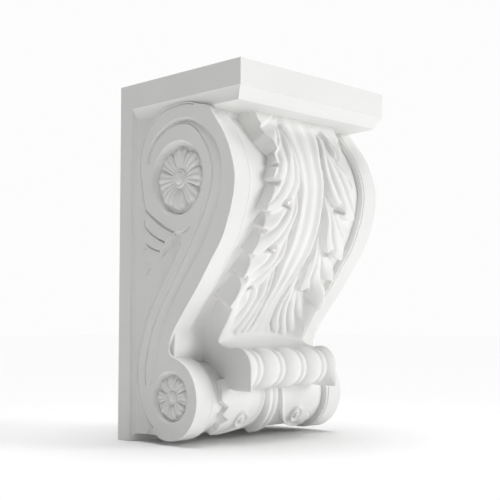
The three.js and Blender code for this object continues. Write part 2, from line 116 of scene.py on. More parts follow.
# Side drawing in per cent of the depth and of the half height
S_FRONT = [
    (74.7, 79.2), (80, 72.1), (85.6, 64.8), (90.6, 55.8), (93.8, 46.7), (95, 39.4),
    (93.8, 29.7), (91.2, 21.2), (85, 7.9), (77.5, -1.8), (67.5, -14.8), (56.2, -27.9),
    (47.8, -38.2), (44.1, -44.8), (43.3, -49.1), (44.4, -51.8), (46.8, -53.2),
]
WALL_EDGE = [
    (32.9, -94.5), (26.7, -89.6), (21.8, -83.5), (17.9, -74.9), (15.9, -64), (16.9, -51.9),
    (19.8, -44.1), (23.7, -33.3), (29.6, -22.4), (38.8, -10.1), (48.9, 3.9), (54, 12.7),
]
SCROLL_TOP = [
    (52.5, 13.3), (45.7, 13.9), (38.3, 16.8), (28.9, 22.3), (22.1, 27.6), (18.5, 40.7),
    (16.9, 53), (19.2, 65.1), (25.4, 74.1), (35.8, 81.1), (46.9, 83.4), (57.8, 83.3),
    (68.4, 80.7),
]
GROOVE_STEP = [
    (22.8, 48.5), (25, 59.4), (30.2, 66.7), (37.8, 71.4), (45.2, 74.2), (52.4, 75),
    (59.6, 74.1), (66.7, 70.9), (73.6, 65.9), (79.6, 59.4), (83.4, 51.5), (84.6, 42.4),
    (83, 31.3), (78.1, 19.4), (67.5, 3), (51.6, -15.8), (41.6, -31.2), (35.3, -44.8),
    (32.2, -57.2), (29.1, -64.8), (25.9, -72.1),
]
GROOVE_RAMP = [
    (24.1, 48.2), (26.7, 58.2), (31.2, 64.8), (38.1, 69.2), (45.3, 71.8), (52.5, 72.5),
    (59.1, 71.2), (65, 67.6), (69.7, 62.4), (74.1, 56.4), (76.9, 49.7), (77.5, 42.4),
    (75.9, 33.9), (70.6, 22.4), (60, 6.1), (44, -15.6), (33.1, -31.2), (26.6, -44.8),
    (23.7, -57.6), (23.5, -65.5), (24.9, -72.1),
]
SCROLL_EYE = (43.3, -75.3)
UPPER_ROSE = (49.4, 43)
LOWER_ROSE = (44.4, -74.4)
ROLL_EYE = (71.2, -59.4)
FOOT_CORNER = (22.5, -95.4)
PANEL_CORNER = (25.6, -90.5)
PANEL_FRONT = [(50, 0), (70, 30), (74, 70)]


def spot(share):
    return np.array([-DEPTH * share[0] / 100, half_high * share[1] / 100])


def spots(shares):
    return np.array([spot(s) for s in shares])


def smooth_line(points, count):
    """Centripetal Catmull-Rom curve through the points, with count steps between each two."""
    p = np.asarray(points, float)
    p = np.vstack([2 * p[0] - p[1], p, 2 * p[-1] - p[-2]])
    out = []
    for i in range(1, len(p) - 2):
        p0, p1, p2, p3 = p[i - 1:i + 3]
        t0 = 0.0
        t1 = t0 + max(np.linalg.norm(p1 - p0), 1e-6) ** 0.5
        t2 = t1 + max(np.linalg.norm(p2 - p1), 1e-6) ** 0.5
        t3 = t2 + max(np.linalg.norm(p3 - p2), 1e-6) ** 0.5
        for t in np.linspace(t1, t2, count, endpoint=False):
            a1 = (t1 - t) / (t1 - t0) * p0 + (t - t0) / (t1 - t0) * p1
            a2 = (t2 - t) / (t2 - t1) * p1 + (t - t1) / (t2 - t1) * p2
            a3 = (t3 - t) / (t3 - t2) * p2 + (t - t2) / (t3 - t2) * p3
            b1 = (t2 - t) / (t2 - t0) * a1 + (t - t0) / (t2 - t0) * a2
            b2 = (t3 - t) / (t3 - t1) * a2 + (t - t1) / (t3 - t1) * a3
            out.append((t2 - t) / (t2 - t1) * b1 + (t - t1) / (t2 - t1) * b2)
    out.append(p[-2])
    return np.array(out)


def arc(eye, radius, start, end, count):
    a = np.linspace(start, end, count + 1)
    return np.stack([eye[0] + radius * np.cos(a), eye[1] + radius * np.sin(a)], 1)


def ease(t):
    t = np.clip(t, 0, 1)
    return t * t * (3 - 2 * t)


# Closed shells, each as (points, faces)
def turned_out(points, faces):
    """The faces, flipped if they point inward."""
    total = 0.0
    for f in faces:
        a = points[f[0]]
        for i in range(1, len(f) - 1):
            total += float(np.dot(a, np.cross(points[f[i]], points[f[i + 1]])))
    return [tuple(reversed(f)) for f in faces] if total < 0 else [tuple(f) for f in faces]


def loft(rings):
    """Closed shell through rings of equally many points."""
    n = len(rings[0])
    points = np.vstack(rings)
    faces = []
    for r in range(len(rings) - 1):
        for i in range(n):
            j = (i + 1) % n
            a, b = r * n + i, r * n + j
            faces.append((a, b, b + n, a + n))
    last = (len(rings) - 1) * n
    faces.append(tuple(reversed(range(n))))
    faces.append(tuple(range(last, last + n)))
    return points, turned_out(points, faces)


def slab(top, bottom):
    """Closed shell between two grids of points, rows by columns by 3."""
    rows, cols = top.shape[:2]
    points = np.vstack([top.reshape(-1, 3), bottom.reshape(-1, 3)])
    under = rows * cols
    idx = np.arange(rows * cols).reshape(rows, cols)
    a, b = idx[:-1, :-1].ravel(), idx[1:, :-1].ravel()
    c, d = idx[1:, 1:].ravel(), idx[:-1, 1:].ravel()
    quads = np.vstack([
        np.stack([a, b, c, d], 1),
        np.stack([d, c, b, a], 1) + under,
    ])
    rim = np.concatenate([idx[0, :-1], idx[:-1, -1], idx[-1, :0:-1], idx[:0:-1, 0]])
    after = np.roll(rim, -1)
    quads = np.vstack([quads, np.stack([after, rim, rim + under, after + under], 1)])
    p = points[quads]
    volume = np.einsum("ij,ij->i", p[:, 0], np.cross(p[:, 1], p[:, 2])).sum()
    volume += np.einsum("ij,ij->i", p[:, 0], np.cross(p[:, 2], p[:, 3])).sum()
    if volume < 0:
        quads = quads[:, ::-1]
    return points, [tuple(q) for q in quads.tolist()]


def ring_at(x, outline):
    outline = np.asarray(outline)
    return np.column_stack([np.full(len(outline), x), outline])


def prism(outline, x0, x1):
    return loft([ring_at(x0, outline), ring_at(x1, outline)])


def mirrored(shell):
    points, faces = shell
    return points * [-1, 1, 1], [tuple(reversed(f)) for f in faces]


def both(shell):
    return [shell, mirrored(shell)]


# Front line: the S of the bands and the lower scroll below it
scroll_eye = spot(SCROLL_EYE)
s_line = smooth_line(spots(S_FRONT), 8)
scroll_arc = arc(scroll_eye, SCROLL_R, math.pi * 0.58, math.pi * 1.63, 56)
front_line = np.vstack([s_line, scroll_arc])


def outward(line):
    step = np.gradient(line, axis=0)
    step /= np.linalg.norm(step, axis=1)[:, None]
    return np.stack([step[:, 1], -step[:, 0]], 1)


front_normals = outward(front_line)
back_bottom = -half_high + FOOT_COVE_HIGH
foot_corner = spot(FOOT_CORNER)
block_inside = cove_top + FASCIA_HIGH / 2
body_back = np.array([
    foot_corner,
    [-PLATE_THICK / 2, back_bottom],
    [-PLATE_THICK / 2, block_inside],
    [spot(S_FRONT[0])[0] + CHANNEL_DEEP, block_inside],
])


def body_ring(x, depth):
    return ring_at(x, np.vstack([front_line - front_normals * depth, body_back]))


# Section of a band: distance from the middle, then depth below the front line
band_section = [
    (groove_x, 0),
    (band_in + LIST_WIDE + LINE_OUTSIDE, 0),
    (band_in + LIST_WIDE, LIST_DEEP),
    (band_in + LIST_WIDE - LINE_INSIDE, LIST_LOW),
    (band_in + LIST_ROUND, LIST_LOW),
    (band_in, LIST_LOW * 2),
    (channel_x, CHANNEL_DEEP + QUIRK_DEEP),
    (channel_x - QUIRK_WIDE / 2, CHANNEL_DEEP + QUIRK_DEEP),
    (channel_x - QUIRK_WIDE, CHANNEL_DEEP),
]
shells = [loft(
    [body_ring(-x, depth) for x, depth in band_section]
    + [body_ring(x, depth) for x, depth in reversed(band_section)]
)]

# Panel ground of the sides
edge_start = smooth_line(spots(WALL_EDGE[:3]), 4)
edge_start[:, 0] -= CARVE_DEEP
panel_line = np.vstack([
    edge_start,
    scroll_eye[None],
    spots(PANEL_FRONT),
    [[spot(PANEL_FRONT[-1])[0], cove_top + COVE_IN], [-PLATE_THICK / 2, cove_top + COVE_IN]],
    [[-PLATE_THICK / 2, back_bottom], foot_corner, spot(PANEL_CORNER)],
])
shells.append(prism(panel_line, -panel_x, panel_x))


# Plate with a small cove, and the top block with its cove and sloping underside
def plate_ring(y, inset):
    x = half - inset
    low = -half_high + inset * FOOT_COVE_HIGH / COVE_IN
    high = cove_top + COVE_IN
    return np.array([[-x, y, low], [x, y, low], [x, y, high], [-x, y, high]])


def block_ring(z, in_x, in_y):
    x, y = half - in_x, -DEPTH + in_y
    return np.array([[-x, 0, z], [-x, y, z], [x, y, z], [x, 0, z]])


quarter = [math.pi / 2 * i / COVE_STEPS for i in range(1, COVE_STEPS + 1)]
plate_rings = [plate_ring(0, 0), plate_ring(-PLATE_THICK, 0)]
for a in quarter:
    plate_rings.append(plate_ring(-PLATE_THICK - COVE_IN * (1 - math.cos(a)), COVE_IN * math.sin(a)))
shells.append(loft(plate_rings))

soffit_in = DEPTH + spot(S_FRONT[0])[0]
block_rings = [block_ring(half_high, 0, 0), block_ring(cove_top, 0, 0)]
for i in range(COVE_STEPS + 1):
    t = i / COVE_STEPS
    share = COVE_QUIRK + (1 - COVE_QUIRK) * (t + COVE_BOW * math.sin(math.pi * t))
    block_rings.append(block_ring(cove_top - COVE_HIGH * t, COVE_IN * share, FRONT_COVE_IN * share))
block_rings.append(block_ring(cove_bottom - SOFFIT_DROP, COVE_IN + CARVE_DEEP, soffit_in))
shells.append(loft(block_rings))


# Solids that need a cut are made as objects
def as_object(name, shell):
    mesh = bpy.data.meshes.new(name)
    mesh.from_pydata([tuple(p) for p in shell[0]], [], shell[1])
    mesh.validate()
    obj = bpy.data.objects.new(name, mesh)
    bpy.context.scene.collection.objects.link(obj)
    return obj


def baked(obj):
    """The object's mesh with its modifiers, as a shell, and the object gone."""
    bpy.context.view_layer.update()
    shape = obj.evaluated_get(bpy.context.evaluated_depsgraph_get()).to_mesh()
    points = np.empty(len(shape.vertices) * 3)
    shape.vertices.foreach_get("co", points)
    faces = [tuple(f.vertices) for f in shape.polygons]
    bpy.data.objects.remove(obj)
    return points.reshape(-1, 3), faces


def fused(shell, added=(), cutters=()):
    """The shell with others added to it and then others cut out of it."""
    target = as_object("target", shell)
    tools = []
    for operation, group in (("UNION", added), ("DIFFERENCE", cutters)):
        for other in group:
            step = target.modifiers.new(operation, "BOOLEAN")
            step.operation = operation
            step.solver = "MANIFOLD"
            step.object = as_object("tool", other)
            tools.append(step.object)
    result = baked(target)
    for tool in tools:
        bpy.data.objects.remove(tool)
    return result


# Side scroll: one plate with the S, both volutes and the strip between them
strip_line = np.vstack([
    s_line, scroll_arc[:-1], smooth_line(spots(WALL_EDGE), 8), smooth_line(spots(SCROLL_TOP), 8),
])
step_line = smooth_line(spots(GROOVE_STEP), 8)
ramp_line = smooth_line(spots(GROOVE_RAMP), 8)
fade_points = len(step_line) / 6
groove_rings = []
for i, (step, ramp) in enumerate(zip(step_line, ramp_line)):
    from_end = min(i, len(step_line) - 1 - i) + 0.4
    deep = GROOVE_DEEP * min(1, from_end / fade_points)
    knee = step * GROOVE_KNEE + ramp * (1 - GROOVE_KNEE)
    groove_rings.append(np.array([
        [side_x + CUT_PAST, *step],
        [side_x - deep, *step],
        [side_x - deep * GROOVE_KNEE, *knee],
        [side_x, *ramp],
        [side_x + CUT_PAST, *ramp],
    ]))


def circle(eye, radius, count):
    return arc(eye, radius, 0, 2 * math.pi, count)[:-1]


def hollow(eye, radius, deep):
    return loft([
        ring_at(side_x + CUT_PAST, circle(eye, radius + CUT_PAST * RECESS_SLOPE / deep, 96)),
        ring_at(side_x - deep, circle(eye, radius - RECESS_SLOPE, 96)),
    ])


upper_rose, lower_rose = spot(UPPER_ROSE), spot(LOWER_ROSE)
upper_hollow = hollow(upper_rose, UPPER_RECESS_R, UPPER_RECESS_DEEP)
lower_hollow = hollow(lower_rose, LOWER_RECESS_R, LOWER_RECESS_DEEP)
side = fused(prism(strip_line, groove_x - CARVE_DEEP, side_x), cutters=[loft(groove_rings)])


# Rosettes: share of the radius and of the lift for each ring of the petals and of the button
PETAL_RINGS = [
    (1.0, -0.2), (1.0, 0.35), (0.985, 0.62), (0.95, 0.8), (0.88, 0.95), (0.78, 1.03),
    (0.66, 1.0), (0.54, 0.9), (0.44, 0.74), (0.36, 0.55), (0.31, 0.45), (0.27, 0.42),
]
BUTTON_RINGS = [
    (0.29, 0.2), (0.29, 0.62), (0.275, 0.8), (0.25, 0.86), (0.225, 0.8), (0.21, 0.72),
    (0.2, 0.8), (0.19, 1.02), (0.16, 1.18), (0.11, 1.28), (0.05, 1.32),
]
PETAL_POINTS = 32
PETAL_BLUNT = 0.45
PETAL_CUT = 0.2
PETAL_NOTCH = 0.035
PETAL_VALLEY = 0.55
PETAL_FLUTE = 0.12
FLOWER_LIFT = 0.75


def rosette(eye, radius, floor, lift):
    """Petals round a button, as two shells."""
    around = PETAL_POINTS * PETALS
    turn = 2 * math.pi * np.arange(around) / around
    u = (np.arange(around) / around * PETALS) % 1
    petal = np.sin(math.pi * u) ** PETAL_BLUNT
    flute = np.cos(6 * math.pi * (u - 0.5))
    reach = 1 - PETAL_CUT + PETAL_CUT * petal * (1 + PETAL_NOTCH * flute)
    rings = []
    for share, height in PETAL_RINGS:
        spread = max(0.0, min(1.0, (share - PETAL_RINGS[-1][0]) / 0.4))
        r = radius * share * (1 + (reach - 1) * min(1, spread * 1.3))
        body = height * (1 - PETAL_VALLEY * spread * (1 - petal) ** 1.2) + PETAL_FLUTE * flute * spread
        x = floor + lift * (body if height > 0 else height)
        rings.append(np.column_stack([
            x if np.ndim(x) else np.full(around, x),
            eye[0] + r * np.cos(turn + math.pi / PETALS),
            eye[1] + r * np.sin(turn + math.pi / PETALS),
        ]))
    button = []
    for share, height in BUTTON_RINGS:
        button.append(ring_at(floor + lift * height, circle(eye, radius * share, 64)))
    return [loft(rings), loft(button)]


flower_shells = []
for eye, radius, deep in [
    (upper_rose, UPPER_FLOWER_R, UPPER_RECESS_DEEP),
    (lower_rose, LOWER_FLOWER_R, LOWER_RECESS_DEEP),
]:
    for shell in rosette(eye, radius, side_x - deep, deep * FLOWER_LIFT):
        flower_shells += both(shell)


# Low leaf on the side panel, its lobes each with its rise
SIDE_STEM = [(24, -2.4), (21.4, -10.1), (21.5, -15.9), (21.6, -24.4), (22.4, -32)]
SIDE_LOBES = [
    ([(21.5, 30), (21.1, 20), (25.2, 15.2), (31.9, 11.5), (39, 8.8)], 2.6),
    ([(20, 24), (20.4, 12.5), (23.2, 8.1), (29.3, 5.3), (35, 4.2)], 2.0),
    ([(21.9, 10), (19.9, 4.1), (19.9, 0.2), (24, -2.9), (32, -3)], 1.4),
]
SIDE_LEAF_ROOT = [(46, 12), (47, 18), (30, 26)]
SIDE_STEM_ROOT = (36, 1)
side_leaf = [prism(np.vstack([
    smooth_line(spots(SIDE_STEM), 6),
    smooth_line(spots(WALL_EDGE[7:]), 6) - 1,
    spots([SIDE_STEM_ROOT]),
]), groove_x, panel_x + SIDE_STEM_RISE)]
for edge, rise in SIDE_LOBES:
    outline = np.vstack([smooth_line(spots(edge), 6), spots(SIDE_LEAF_ROOT)])
    side_leaf.append(prism(outline, groove_x, panel_x + rise))

# Fine lines scored into the side: along the scroll's edges, the groove, the end of the upper
# spiral and the leaf, the last two as (y, z)
LINE_WIDE = 1.1
LINE_DEEP = 2.4
LEAF_LINE_DEEP = 3.8
EDGE_IN = 1.3
SPIRAL_END = [
    (-33, 47), (-38.5, 42), (-46.2, 36.8), (-53.5, 31.6), (-61.3, 27.8), (-73.1, 23),
    (-84.7, 22), (-91.8, 23.9), (-96, 26.5),
]
LEAF_LINES = [
    [(-33.6, 36.8), (-33.7, 31.9), (-40.3, 25.1), (-51.1, 18.9), (-61.7, 14.5)],
    [(-31.5, 29.9), (-32.7, 20.7), (-37.1, 13.4), (-46.9, 8.7), (-54.4, 6.9)],
    [(-35, 11.4), (-31.8, 6.7), (-31.8, 0.3), (-38.4, -4.8)],
    [(-40.6, -7.7), (-34.2, -16.6), (-34.4, -26.3), (-34.5, -40.3), (-35.8, -52.8)],
]


def scored(line, face_x, deep):
    """Cutter with a V section along a line on a face."""
    rings = []
    for p, across in zip(line, outward(line) * LINE_WIDE * (1 + CUT_PAST / deep)):
        rings.append(np.array([
            [face_x + CUT_PAST, *(p + across)],
            [face_x - deep, *p],
            [face_x + CUT_PAST, *(p - across)],
        ]))
    return loft(rings)


top_line = smooth_line(spots(SCROLL_TOP), 8)[6:-4]
wall_line = smooth_line(spots(WALL_EDGE), 8)[4:-4]
lines = []
for line in [
    top_line - outward(top_line) * EDGE_IN,
    wall_line - outward(wall_line) * EDGE_IN,
    step_line[4:-4],
    ramp_line[4:-4],
    smooth_line(SPIRAL_END, 6),
]:
    lines.append(scored(line, side_x, LINE_DEEP))
for line in LEAF_LINES:
    lines.append(scored(smooth_line(line, 6), panel_x + SIDE_LOBES[0][1], LEAF_LINE_DEEP))

# Everything but the front carving
base_shells = shells[1:] + both(side)
for piece in side_leaf:
    base_shells += both(piece)
hollows = both(upper_hollow) + both(lower_hollow)
for line in lines:
    hollows += both(line)
base = fused(shells[0], base_shells, hollows)


# Front leaf: heights above the channel floor over a plan of x and the height z on the S line.
# Every place below is (x, z) in millimetres on the right half.
LEAF_EDGE = [
    (-30, 150), (61, 150), (60.5, 119.5), (58, 103), (52, 96.5), (46.5, 91.5), (51, 80),
    (57, 68), (54, 65.5), (58.5, 52), (63, 39.5), (54.2, 39.5), (58, 33), (61.8, 26),
    (57.2, 25.5), (60.5, 15), (64, 4.5), (56, 5), (60, -4), (65, -16), (56, -12), (61, -22),
    (67, -35), (55, -40), (58, -47), (61, -56), (60, -100), (-30, -100),
]
# Each lobe: how far it dips under the edge of the lobe above, its lower edge, and the middle
# lines of its fingers
LOBES = [
    {
        "lower": [(10, 134), (25, 127), (36, 119), (46, 113.5), (54, 110.5), (66, 108)],
        "fingers": [[(24, 140), (36, 128), (50, 118)]],
    },
    {
        "dip": 1.2,
        "lower": [(20, 118), (33, 118), (35, 110), (34.5, 104), (36, 98), (40, 92.5), (47, 90.5), (66, 88)],
        "fingers": [
            [(18, 132), (30, 120), (40, 107), (47, 96)],
            [(16, 124), (25, 114), (31, 106), (36, 99)],
        ],
    },
    {
        "dip": 4.6,
        "lower": [
            (10, 116), (24, 112), (22.5, 104), (19, 94), (17.4, 84), (17.8, 75), (19.2, 67), (22.5, 60),
            (27.5, 54), (33, 49.5), (36, 47.5), (40, 44.3), (47, 41.2), (54, 39.6), (70, 39),
        ],
        "fingers": [
            [(25, 108), (21, 95), (19.8, 83), (20.6, 72), (24.5, 62), (29.5, 55.5), (34, 52)],
            [(26, 112), (26, 97), (29, 82), (33, 70), (39, 60), (47, 51), (56, 44.5), (64, 40)],
            [(28, 116), (34, 100), (38.5, 84), (44, 72), (51, 60), (58, 50)],
            [(32, 112), (41, 98), (47, 85), (58, 68)],
        ],
    },
    {
        "dip": 5,
        "lower": [
            (10, 62), (17, 61), (17.2, 52), (18.5, 44.5), (22, 36), (23.8, 27), (26.6, 19.5), (31, 13.5),
            (36, 10.3), (39.5, 9.5), (43, 9), (49, 8), (56, 6), (72, 4.5),
        ],
        "fingers": [
            [(19, 60), (20, 50), (22.5, 41), (26, 31), (29, 23.5), (33, 17.5), (38, 13.5)],
            [(21, 64), (25, 52), (30, 40), (36, 29), (44, 20), (54, 12.5), (66, 5)],
            [(26, 60), (33, 48), (41, 39), (50, 31.5), (64, 25)],
        ],
    },
    {
        "dip": 5,
        "lower": [
            (10, 34), (17, 33), (17, 18), (17.3, 8), (19, 0), (22.5, -8), (24.8, -16), (28, -22.5),
            (32.5, -25.5), (38, -25), (44, -28), (51, -33), (56, -39), (74, -37),
        ],
        "fingers": [
            [(19, 34), (20, 22), (22, 10), (25.5, 0), (29, -9), (32.5, -16.5), (37.5, -21.5)],
            [(24, 26), (28.5, 10), (33, -2), (39, -12), (47, -20.5), (57, -28), (68, -36)],
            [(27, 22), (34, 11), (43, 2), (54, -7), (67, -17)],
        ],
    },
    {
        "dip": 4.6,
        "lower": [
            (10, 4), (16.5, 3), (13, -10), (11.2, -20), (9.3, -32), (10.2, -45), (12.5, -53),
            (17, -58.5), (24, -61), (34, -62.5), (46, -63), (70, -66),
        ],
        "fingers": [
            [(18, 2), (15, -12), (13, -25), (13, -38), (16, -49), (21, -57)],
            [(22, -8), (19.5, -22), (19.5, -36), (24, -48), (30.5, -58)],
            [(28, -20), (27.5, -32), (32, -44), (40, -55)],
            [(34, -24), (38, -36), (47, -46), (60, -55)],
        ],
    },
]
LOBE_DIP_RUN = 14.0
LOBE_WALL = 2.4
LOBE_ROUND = 1.2
LOBE_ROUND_WIDE = 1.6
FINGER_CROWN = 0.7
FINGER_VALLEY = 2.4
FINGER_GAP = 9
FINGER_RANGE = (0.55, 1.15)
CREASE_SHARP = 2.6
FAR_AWAY = 60.0

# Where the plan of a lobe is closed, above and beside the leaf
PAST_TOP = (0, 200)
PAST_SIDE = 95

# Slope of the leaf's side walls over z, and the soft edge above them
WALL_SLOPE = [(150, 2.5), (99, 2.5), (92, 5), (86, 8), (-30, 8), (-50, 3.5), (-90, 3.5)]
WALL_FOOT = 0.5
EDGE_ROUND = 1.2
EDGE_ROUND_WIDE = 2.2

# Notches in the side edge, each with a slope below it
NOTCHES = [(51, 81), (54, 66), (54.2, 39.5), (57.2, 25.5), (56, 5), (56, -12), (55, -40)]
NOTCH_LONG = 15
SHOULDER = 1.9

# Foot of the leaf, where the tip sheet takes over
TOE_TOP = -60.0
TOE_HIGH = 13.0
TOE_SINK = 12.0

# Hollows between the lobes
EYES = [
    [(30.5, 45), (35.5, 52), (42, 46.5)],
    [(33.5, 7.5), (39.5, 13.5), (46, 8)],
    [(33, -26), (38, -22), (43, -26.5)],
]
EYE_FLOOR = 3.5
EYE_SLOPE = 4.5

# Height of the leaf: per cent of the half height, then at the stem, halfway and at the edge
LEAF_RISE = [
    (84, 21, 20, 19), (78, 17.5, 17, 16.5), (70, 13.3, 14, 13.8), (61, 10.2, 13, 13.5),
    (51.5, 8, 12.3, 12.3), (42.4, 7.2, 12, 11.2), (30, 7.5, 12.8, 10.8), (18, 9, 13, 10.8),
    (6, 9.6, 13.6, 11.2), (0, 10.6, 12.6, 12.5), (-6, 11, 11.2, 15), (-12, 10.5, 10, 17.5),
    (-21, 10.3, 11, 20), (-31.5, 12.8, 15.6, 23), (-38, 16, 18.6, 25), (-46, 18, 20, 25),
]
LEAF_HALFWAY = 38
LEAF_SIDE = 60

# How far the ground beyond the lobes lies below the leaf, then the heights outside its edge and
# at its hidden back
LEAF_THICK = 5.5
SUNK = -2.0
LEAF_BACK = -4.0

# Half width of the stem over z, and its cross section
STEM_WIDE = [
    (140, 21), (112, 23), (104, 21.8), (94, 18.5), (84, 17), (70, 17.6), (60, 16.3), (30, 17),
    (10, 16.8), (0, 15.8), (-10, 13), (-20, 10.8), (-32, 9.2), (-45, 9.6), (-54, 12), (-60, 17),
    (-75, 30),
]
STEM_SHAPE = [
    (0, 0.8), (0.14, 0.5), (0.3, -0.6), (0.42, -0.9), (0.55, -0.4), (0.7, 0.5), (0.82, 0.4),
    (1, -1.4),
]
STEM_TILT = 0.45
STEM_WALL = 1.2

# The ribs of the stem fade out towards the tip
STEM_FADE = 0.75
STEM_FADE_TOP = -10
STEM_FADE_HIGH = 25

# Depth over z of the groove beside the stem
STEM_GROOVE = [(80, 0), (62, 1.5), (45, 3), (10, 4), (-10, 3.5), (-25, 2), (-45, 1), (-60, 0)]
STEM_GROOVE_OUT = 1.0
STEM_GROOVE_WIDE = 1.9

s_normals = outward(s_line)
down = s_line[:, 1]
s_length = np.concatenate([[0], np.cumsum(np.linalg.norm(np.diff(s_line, axis=0), axis=1))])


def over_z(z, values):
    return np.interp(-np.asarray(z), -down, values)


def table_at(z, rows, column=1):
    """Value in a column of rows that run down from the highest z."""
    t = np.array([(row[0], row[column]) for row in rows], float)
    return np.interp(-np.asarray(z), -t[:, 0], t[:, 1])


def leaf_rise(x, z):
    share = z / half_high * 100
    stem, middle, edge = (table_at(share, LEAF_RISE, column) for column in (1, 2, 3))
    x = np.abs(x)
    near = stem + (middle - stem) * ease(x / LEAF_HALFWAY)
    far = middle + (edge - middle) * ease((x - LEAF_HALFWAY) / (LEAF_SIDE - LEAF_HALFWAY))
    return np.where(x < LEAF_HALFWAY, near, far)


def leaf_points(x, z, rise):
    """Points at a height above the channel floor, square to the S line."""
    ny, nz = over_z(z, s_normals[:, 0]), over_z(z, s_normals[:, 1])
    size = np.hypot(ny, nz)
    ny, nz = ny / size, nz / size
    lift = rise - CHANNEL_DEEP
    return np.stack([x, over_z(z, s_line[:, 0]) + ny * lift, z + nz * lift], -1)


# The plan: a grid over x and the length along the S line
GRID = 0.55
LEAF_WIDE = 72.0
LEAF_TOP = 0.83
LEAF_FOOT = -0.45
along = np.arange(
    over_z(half_high * LEAF_TOP, s_length),
    over_z(half_high * LEAF_FOOT, s_length),
    GRID,
)
plan_x, plan_s = np.meshgrid(np.arange(0, LEAF_WIDE, GRID), along)
plan_z = np.interp(plan_s, s_length, down)
plan = np.stack([plan_x, plan_s], -1).reshape(-1, 2)


def in_plan(places):
    """Places (x, z) as (x, length along the S line), past its ends too."""
    p = np.array(places, float)
    over = np.maximum(0, p[:, 1] - down[0]) - np.maximum(0, down[-1] - p[:, 1])
    return np.column_stack([p[:, 0], over_z(p[:, 1], s_length) - over])


def apart(line):
    """Distance of every plan point from a line."""
    far = np.full(len(plan), 1e9)
    for a, b in zip(line[:-1], line[1:]):
        step = b - a
        u = np.clip(((plan - a) @ step) / max(step @ step, 1e-9), 0, 1)
        np.minimum(far, np.linalg.norm(plan - a - u[:, None] * step, axis=1), out=far)
    return far.reshape(plan_x.shape)


def within(loop):
    """Distance of every plan point from a closed line, negative outside it."""
    inside = np.zeros(len(plan), bool)
    for a, b in zip(loop, np.roll(loop, -1, axis=0)):
        crosses = (a[1] > plan[:, 1]) != (b[1] > plan[:, 1])
        at = a[0] + (plan[:, 1] - a[1]) * (b[0] - a[0]) / (b[1] - a[1] if b[1] != a[1] else 1e-9)
        inside ^= crosses & (plan[:, 0] < at)
    far = apart(np.vstack([loop, loop[:1]]))
    return np.where(inside.reshape(plan_x.shape), far, -far)


rise_here = leaf_rise(plan_x, plan_z)
middle_rise = leaf_rise(0 * plan_x, plan_z)
far_away = np.full(plan_x.shape, FAR_AWAY)
top_s = in_plan([PAST_TOP])[0, 1]

# Lobes, each over the part of the plan above its lower edge
layers = []
edge_above = None
for lobe in LOBES:
    lower = smooth_line(in_plan(lobe["lower"]), 4)
    region = within(np.vstack([
        [[0, top_s], [0, lower[0, 1]]],
        lower,
        [[PAST_SIDE, lower[-1, 1]], [PAST_SIDE, top_s]],
    ]))
    spines = [apart(smooth_line(in_plan(spine), 5)) for spine in lobe["fingers"]]
    nearest, second = np.sort(np.array(spines + [far_away]), axis=0)[:2]
    gap = nearest + second
    crease = np.clip(2 * nearest / gap, 0, 1) ** CREASE_SHARP
    h = rise_here + FINGER_CROWN - FINGER_VALLEY * np.clip(gap / FINGER_GAP, *FINGER_RANGE) * crease
    if edge_above is not None:
        h = h - lobe["dip"] * (1 - ease(edge_above / LOBE_DIP_RUN))
    h = h - LOBE_ROUND * np.clip(1 - region / LOBE_ROUND_WIDE, 0, 1) ** 2
    layers.append((region, h))
    edge_above = apart(lower)
height = rise_here - LEAF_THICK
for region, h in reversed(layers):
    cover = ease(region / LOBE_WALL + 0.5)
    height = height * (1 - cover) + h * cover

# Stem over the lobes, with a groove on each side
stem_wide = table_at(plan_z, STEM_WIDE)
shape = np.array(STEM_SHAPE)
fade = 1 - STEM_FADE * ease((STEM_FADE_TOP - plan_z) / STEM_FADE_HIGH)
stem = middle_rise + fade * np.interp(plan_x / stem_wide, shape[:, 0], shape[:, 1])
stem = stem + STEM_TILT * ease(plan_x / stem_wide) * (leaf_rise(stem_wide, plan_z) - middle_rise)
cover = np.clip((stem_wide - plan_x) / STEM_WALL + 0.5, 0, 1)
height = height * (1 - cover) + stem * cover
beside = (plan_x - stem_wide - STEM_GROOVE_OUT) / STEM_GROOVE_WIDE
height -= table_at(plan_z, STEM_GROOVE) * np.exp(-beside ** 2)

# Eyes, foot, notches and side walls
for eye in EYES:
    hole = within(smooth_line(np.vstack([in_plan(eye), in_plan(eye)[:1]]), 1)[:-1])
    np.minimum(height, EYE_FLOOR + EYE_SLOPE * np.maximum(0, -hole), out=height)
height -= TOE_SINK * ease((TOE_TOP - plan_z) / TOE_HIGH)
for x, z in NOTCHES:
    shoulder = SHOULDER * apart(in_plan([(x, z), (x + NOTCH_LONG, z)]))
    height = np.where(plan_z < z, np.minimum(height, shoulder), height)
rim = within(in_plan(LEAF_EDGE))
height = height - EDGE_ROUND * np.clip(1 - rim / EDGE_ROUND_WIDE, 0, 1) ** 2
height = np.maximum(np.minimum(height, table_at(plan_z, WALL_SLOPE) * rim - WALL_FOOT), SUNK)


def whole(grid, sign=1):
    """A grid of the right half with its mirror image on the left."""
    return np.hstack([sign * grid[:, :0:-1], grid])


full_x = whole(plan_x, -1)
full_z = whole(plan_z)
carved_shells = [slab(
    leaf_points(full_x, full_z, whole(height)),
    leaf_points(full_x, full_z, np.full(full_x.shape, LEAF_BACK)),
)]

# Leaf tip: a cupped sheet that swings forward and rolls over the lower scroll. The lip runs from
# the first place of each pair in the middle to the second at the side.
TIP_LIP = [
    [(57.5, -21), (70, -21)],
    [(55.5, -31.5), (65.5, -32.5)],
    [(54, -38), (60.5, -39.5)],
    [(55.5, -43), (57.5, -45)],
]
TIP_ROOT = (45, -12)
TIP_BEND = (61, -47.3)
TIP_BELOW = [(60, -72), (40, -60)]
TIP_EVEN = 28
TIP_IN_ROLL = 0.6
roll_eye = spot(ROLL_EYE)


